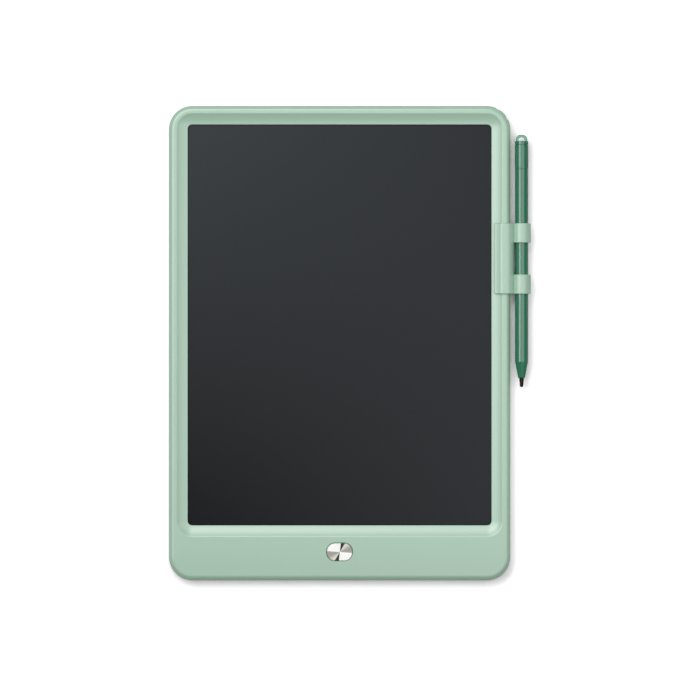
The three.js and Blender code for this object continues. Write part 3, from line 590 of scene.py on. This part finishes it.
# Writing film, foam, support plate and film tail
# The film is a satin sheet of bonded layers, nearly black until it is pressed. Foam and a card
# plate behind it take the force of writing, and its clear amber tail drops to the circuit board.


def finish_nodes(material, *names):
    for name in names:
        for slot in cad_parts[name].material_slots:
            slot.material = material


film = Finish("writing_film")
film_x, film_y = film.axes()[:2]
film_middle = 0.01
film_right = 0.077
painted_light_contrast = 32.5  # painted light: its left side is paler at the top and darker at the bottom, where the lamps' light falls off
painted_film_light = (film_y - film_middle) * (film_right - film_x) * painted_light_contrast + 0.5
film_grain = film.noise(0.0003)
finish_nodes(film.surface({
    "Base Color": painted_film_light.mix(srgb(14, 16, 20), srgb(52, 56, 60)),
    "Roughness": film_grain * 0.05 + 0.38,
    "Specular IOR Level": 0.18,
    "Normal": film.bump(film_grain, 0.000003),
}), "writing_film")

foam = Finish("black_foam")
foam_cells = foam.noise(0.0004)
finish_nodes(foam.surface({
    "Base Color": foam_cells.mix(srgb(20, 20, 22), srgb(38, 38, 40)),
    "Roughness": 0.95,
    "Normal": foam.bump(foam_cells, 0.0001),
}), "film_foam")

card = Finish("grey_board")
card_fibre = card.noise(0.0006, detail=4.0, scale=(1, 3, 1))
finish_nodes(card.surface({
    "Base Color": card_fibre.mix(srgb(104, 100, 95), srgb(134, 130, 123)),
    "Roughness": 0.85,
    "Normal": card.bump(card_fibre, 0.00002),
}), "support_plate", "capacitor_1", "capacitor_2")

tail = Finish("amber_film")
tail_waves = 5000  # radians a metre, which is a line every 1.26 mm
tail_lines = (tail.axes()[0] * tail_waves).math("SINE").rising(0.2, 0.6)
finish_nodes(tail.surface({
    "Base Color": tail_lines.mix(srgb(190, 128, 44), srgb(150, 92, 28)),
    "Roughness": 0.3,
}), "film_tail")

# Circuit board and what is soldered to it
# A small green board behind the chin carries the erase and lock switches, the chip, a coil and two
# capacitors, all black or grey, and takes the film's tail.
lacquer = Finish("circuit_green")
lacquer_tracks = lacquer.noise(0.0012, detail=0.0, scale=(1, 4, 1)).rising(0.5, 0.53)
finish_nodes(lacquer.surface({
    "Base Color": lacquer_tracks.mix(srgb(22, 86, 52), srgb(40, 116, 72)),
    "Roughness": 0.28,
    "Normal": lacquer.bump(lacquer_tracks, 0.00003),
}), "circuit_board")

black = Finish("black_plastic")
black_grain = black.noise(0.0002)
black_plastic = black.surface({
    "Base Color": black_grain.mix(srgb(30, 31, 33), srgb(40, 41, 43)),
    "Roughness": black_grain * 0.1 + 0.45,
    "Normal": black.bump(black_grain, 0.00001),
})
finish_nodes(
    black_plastic, "erase_switch_body", "erase_switch_plunger", "controller_chip", "boost_coil",
    "lock_switch_body", "lock_switch_nub")
finish_nodes(
    plated_steel, "circuit_screw_1", "circuit_screw_2", "contact_positive", "contact_negative")

# Coin cell
# A pressed steel can with a satin face towards the door, where its rim is rolled over.
cell_low = 1.45
cell_high = 3.05
cell_radius = 10
coin_cell = turned("coin_cell_can", [
    (0, cell_low), (9.3, cell_low), (9.7, cell_low + 0.05), (9.93, cell_low + 0.2),
    (cell_radius, cell_low + 0.45), (cell_radius, cell_high - 0.4), (9.9, cell_high - 0.25),
    (9.7, cell_high - 0.2), (9.0, cell_high - 0.2), (8.9, cell_high - 0.08), (8.7, cell_high),
    (0, cell_high),
], *cell_middle, 0, axis="Z")
settle(coin_cell, "board", plated_steel, "steel", "coin_cell")

# Battery door and its screw
# A flat door with softened edges, hooked under the cover at its lower end and held by a captive
# screw at its upper end.
door_inside = 1.35
door_edge = roll(0.3, 0.4, 0.1, steps=5)
battery_door = door_plate("battery_door_plate", 0, [(0, door_inside), *door_edge])
combined(
    "UNION", battery_door,
    *(block("hook", (x - 2, -111.4, 0.9), (x + 2, -109.9, 1.7)) for x in hook_places))
combined(
    "DIFFERENCE", battery_door, post("door_counterbore", 1.9, -1, 0.7, *door_screw),
    post("door_screw_hole", 1.1, -1, 3, *door_screw))
settle(battery_door, "battery_door", mint_plastic, "mint_plastic", "battery_door")
battery_door_screw = screw(
    "battery_door_screw_turned", *door_screw, radius=0.9, head_radius=1.7, head=0.5, seat=0.65,
    tip=3.05)
settle(battery_door_screw, "battery_door", plated_steel, "steel", "battery_door_screw", smooth=30)

# Lock slider
# A black slider in a slot behind the chin. Its ribbed knob stays below the back panel, and its fork
# moves the nub of a slide switch on the circuit board.
knob_x = lock_middle[0] - 1
lock_y = lock_middle[1]
groove_pitch = 1.2
lock_slider = block(
    "lock_slider_plate", (knob_x - 6.2, lock_y - 2.7, 1.6), (knob_x + 6.2, lock_y + 2.7, 2.25))
knob_edge = roll(0.18, 0.38, 0.2, steps=4)
knob = moulded("knob", 6, 3, 0.75, [(0, 1.8), *knob_edge], knob_x, lock_y)
fork = block("fork", (knob_x - 1.85, -98.1, 2.05), (knob_x + 1.85, -96.5, 5.0))
combined("DIFFERENCE", fork, block("notch", (knob_x - 0.75, -99, 4.2), (knob_x + 0.75, -96, 6)))
combined("UNION", lock_slider, knob, fork)
for step in (-1, 0, 1):
    groove_x = knob_x + groove_pitch * step
    groove = block("groove", (groove_x - 0.3, lock_y - 3, -1), (groove_x + 0.3, lock_y + 3, 0.55))
    combined("DIFFERENCE", lock_slider, modified(groove, "BEVEL", width=0.15, segments=3))
settle(lock_slider, "lock_slider", black_plastic, "black_plastic", "lock_slider")

# Erase button
# A disc of spun metal, bonded to a carrier of mint plastic whose flange keeps it under the chin.
# Its fine rings are a bump, and its bright, grey and dark opposite wedges are painted reflections
# of the lamps.
spun = Finish("spun_metal")
spun_middle = 0.13  # to the right of the button's middle, where the wedges meet
ring_waves = 26000  # radians a metre, which is a ring every 0.24 mm
spun_x, spun_y = spun.axes((spun_middle * millimetre, button_middle * millimetre, 0))[:2]
spun_angle = spun_y.math("ARCTAN2", spun_x)
spun_radius = (spun_x * spun_x + spun_y * spun_y).math("SQRT")
spun_rings = (spun_radius * ring_waves).math("SINE")
half_turn = (spun_angle / math.pi + 1.03).math("FRACT")  # from 0 to 1 over each half turn
# Painted reflections: over half of each half turn a white painted highlight, and over the other
# half a grey painted sheen that brightens into a painted streak and then turns to a dark wedge of
# painted shade.
outside_painted_glare = half_turn.rising(0.0, 0.015) * (1 - half_turn.rising(0.485, 0.505))
painted_streak = half_turn.rising(0.13, 0.31)
painted_dark_wedge = half_turn.rising(0.335, 0.38)
painted_sheen_tone = painted_streak.mix(srgb(166, 163, 152), srgb(228, 225, 215))
spun_metal = spun.surface({
    "Base Color": outside_painted_glare.mix(srgb(255, 255, 252), painted_dark_wedge.mix(painted_sheen_tone, srgb(44, 42, 38))),
    "Metallic": 0.1,
    "Roughness": 0.3,
    "Normal": spun.bump(spun_rings, 0.00001),
})
face_under = 8.0
face_edge = roll(0.22, 8.28, 8.5, steps=5)
button_face = button_plate("erase_button_disc", 0, [(0, face_under), *face_edge])
settle(button_face, "erase_button", spun_metal, "spun_metal", "erase_button_face")
finish_nodes(mint_plastic, "erase_button_carrier")

# Stylus holder
# A springy channel clips round the edge of the board, from the back into the cove, and carries two
# rings for the stylus.
holder_low = 24.9
holder_high = 60.6
holder_gap = 0.25
holder_reach = 7.5  # under the board
channel_side = 1.7  # its thickness beside the board
channel_flat = 1.2  # and over and under it
loop_length = 9.8
loop_outside = 4.665
loop_inside = 3.495
loop_lip = 0.35
stylus_x = 92.095
stylus_z = 4.765
stylus_radius = 3.275
half_width = board_width / 2


def drawn(name, points, low, high):
    """A closed outline of (x, z) points, drawn point by point and pulled along the board's side."""
    first_x, first_z = points[0]
    piece = outlined(name, (first_x, low, first_z), [
        (next_x - x, 0, next_z - z)
        for (x, z), (next_x, next_z) in zip(points, [*points[1:], points[0]])])
    bpy.ops.mesh.remove_doubles(threshold=0.0005)
    bpy.ops.mesh.edge_face_add()
    bpy.ops.mesh.select_all(action="SELECT")
    bpy.ops.mesh.extrude_region_move(TRANSFORM_OT_translate={"value": (0, high - low, 0)})
    bpy.ops.mesh.select_all(action="SELECT")
    bpy.ops.mesh.normals_make_consistent(inside=False)
    bpy.ops.object.mode_set(mode="OBJECT")
    return piece


cove_stride = 0.46
edge_path = [(half_width - holder_reach, cover_margin)]
edge_path += [(half_width - inset, z) for inset, z in reversed(roll(*back_roll, steps=8))]
edge_path += [(half_width - inset, z) for inset, z in roll(*front_roll, steps=8)]
edge_path += [(window_width / 2 + cove_reach - inset, z) for inset, z in creased]
crease_x = edge_path[-1][0]
edge_path += [
    (crease_x - cove_stride * step, cove_height(1 - cove_stride * step / (cove_width - crease)))
    for step in range(1, 9)]


def moved_out(path, side_distance, flat_distance):
    """A path moved outwards, by one distance where it is upright and another where it is flat."""
    moved = []
    for before, (x, z), after in zip([path[0], *path], path, [*path[1:], path[-1]]):
        along = Vector((after[0] - before[0], after[1] - before[1])).normalized()
        distance = side_distance * along.y ** 2 + flat_distance * along.x ** 2
        moved.append((x + along.y * distance, z - along.x * distance))
    return moved


channel_outer = moved_out(edge_path, holder_gap + channel_side, holder_gap + channel_flat)
channel_inner = moved_out(edge_path, holder_gap, holder_gap)
pen_holder = drawn(
    "pen_holder_channel", [*channel_outer, *reversed(channel_inner)], holder_low, holder_high)
modified(
    pen_holder, "BEVEL", width=0.5, segments=5, limit_method="ANGLE", angle_limit=math.radians(50))
loop_round = [(loop_lip * (1 - math.sin(turn)), loop_lip * (1 - math.cos(turn)))
              for turn in quarter(4)]
for low in (holder_low, holder_high - loop_length):
    high = low + loop_length
    outer = [(loop_outside - inset, low + rise) for inset, rise in loop_round]
    outer += [(loop_outside - inset, high - rise) for inset, rise in reversed(loop_round)]
    inner = [(loop_inside + inset, high - rise) for inset, rise in loop_round]
    inner += [(loop_inside + inset, low + rise) for inset, rise in reversed(loop_round)]
    ring = turned("holder_loop", [*outer, *inner, outer[0]], stylus_x, 0, stylus_z)
    combined("UNION", pen_holder, ring)
settle(pen_holder, "pen_holder", mint_plastic, "mint_plastic", "pen_holder")

# Stylus, of glossy green plastic, with a dark nib
# A barrel that narrows to its nib takes a slightly wider cap on a spigot. The cap ends in a flat
# eyelet, thin enough for some light to pass, and that light is painted into it as a paler green.
cap_top = 102.2
cap_length = 13.8
cap_radius = 3.36
cap_bore = 2.4
cap_room = 7.6  # from the cap's top down to where its bore ends
cap_edge = 0.08
barrel_top = cap_top - cap_length - 0.1
barrel_end = barrel_top - 97.7
spigot_radius = 2.3
spigot_length = 6
cone_end = barrel_end - 8.2
cone_radius = 1.45
cone_bore = 1.25
edge_radius = 0.35

green = Finish("green_plastic")
green_y = green.axes()[1]
green_grain = green.noise(0.0009)
# Painted light: the eyelet beyond the cap's top is a paler green, standing in for light that shines
# through its thin plastic.
painted_eyelet_light = green_y.rising((cap_top - 0.1) * millimetre, (cap_top + 0.4) * millimetre)
green_plastic = green.surface({
    "Base Color": painted_eyelet_light.mix(srgb(28, 114, 83), srgb(94, 158, 130)),
    "Roughness": green_grain * 0.04 + 0.2,
    "Specular IOR Level": 1.0,
    "IOR": 1.62,
    "Normal": green.bump(green_grain, 0.000002),
})
cone_round = [
    (cone_radius + edge_radius * math.sin(turn), cone_end + edge_radius * (1 - math.cos(turn)))
    for turn in quarter(10)]
stylus_barrel = turned("stylus_barrel_turned", [
    (cone_bore, cone_end), *cone_round, (stylus_radius, barrel_end),
    (stylus_radius, barrel_top - 0.08), (stylus_radius - 0.08, barrel_top),
    (spigot_radius, barrel_top), (spigot_radius, barrel_top + spigot_length),
    (1.65, barrel_top + spigot_length), (1.65, barrel_end), (cone_bore, barrel_end - 2),
    (cone_bore, cone_end),
], stylus_x, 0, stylus_z)
settle(stylus_barrel, "stylus", green_plastic, "green_plastic", "stylus_barrel", smooth=9.5)

cap_low = cap_top - cap_length
cap_round = [(cap_radius - inset, y)
             for inset, y in roll(edge_radius, cap_top - edge_radius, cap_top, steps=10)]
groove_y = cap_top - 1.5
groove_radius = 3.14
stylus_cap = turned("stylus_cap_turned", [
    (cap_bore, cap_low), (cap_radius - cap_edge, cap_low), (cap_radius, cap_low + cap_edge),
    (cap_radius, groove_y - 0.5), (cap_radius - cap_edge, groove_y - 0.42),
    (groove_radius, groove_y - 0.34), (groove_radius, groove_y - 0.16),
    (cap_radius - cap_edge, groove_y - 0.08), (cap_radius, groove_y), *cap_round, (0, cap_top),
    (0, cap_top - cap_room), (cap_bore, cap_top - cap_room), (cap_bore, cap_low),
], stylus_x, 0, stylus_z)
over = 9  # a height above all of the stylus
eyelet_side = [(0, 0.55), (0.1, 0.78), (0.3, 0.9)]
eyelet = moulded(
    "eyelet", 5.8, 6.4, 2.4,
    [(0, stylus_z), *((inset, stylus_z + rise) for inset, rise in eyelet_side)],
    stylus_x, cap_top, under=[(inset, stylus_z - rise) for inset, rise in eyelet_side])
combined(
    "DIFFERENCE", eyelet,
    moulded("eyelet_hole", 3.1, 3.8, 1.5, [(0, 0), (0, over)], stylus_x, cap_top),
    block("eyelet_foot", (stylus_x - 4, cap_top - 5, 0), (stylus_x + 4, cap_top - overlap, over)))
combined("UNION", stylus_cap, eyelet)
settle(stylus_cap, "stylus", green_plastic, "green_plastic", "stylus_cap", smooth=25)

nib = Finish("dark_nib")
nib_grain = nib.noise(0.0002)
nib_plastic = nib.surface({
    "Base Color": nib_grain.mix(srgb(26, 21, 17), srgb(38, 32, 26)),
    "Roughness": nib_grain * 0.1 + 0.45,
    "Specular IOR Level": 0.25,
})
nib_radius = 1.2
nib_end = cone_end - 4.7
nib_root = cone_end + 8
stylus_nib = turned("stylus_nib_turned", [
    (0, nib_end), (0.3, nib_end + 0.03), (0.57, nib_end + 0.13), (0.77, nib_end + 0.3),
    (0.88, nib_end + 0.55), (nib_radius, cone_end - 0.1), (nib_radius, nib_root), (0, nib_root),
], stylus_x, 0, stylus_z, sides=48)
settle(stylus_nib, "stylus", nib_plastic, "dark_nib", "stylus_nib")
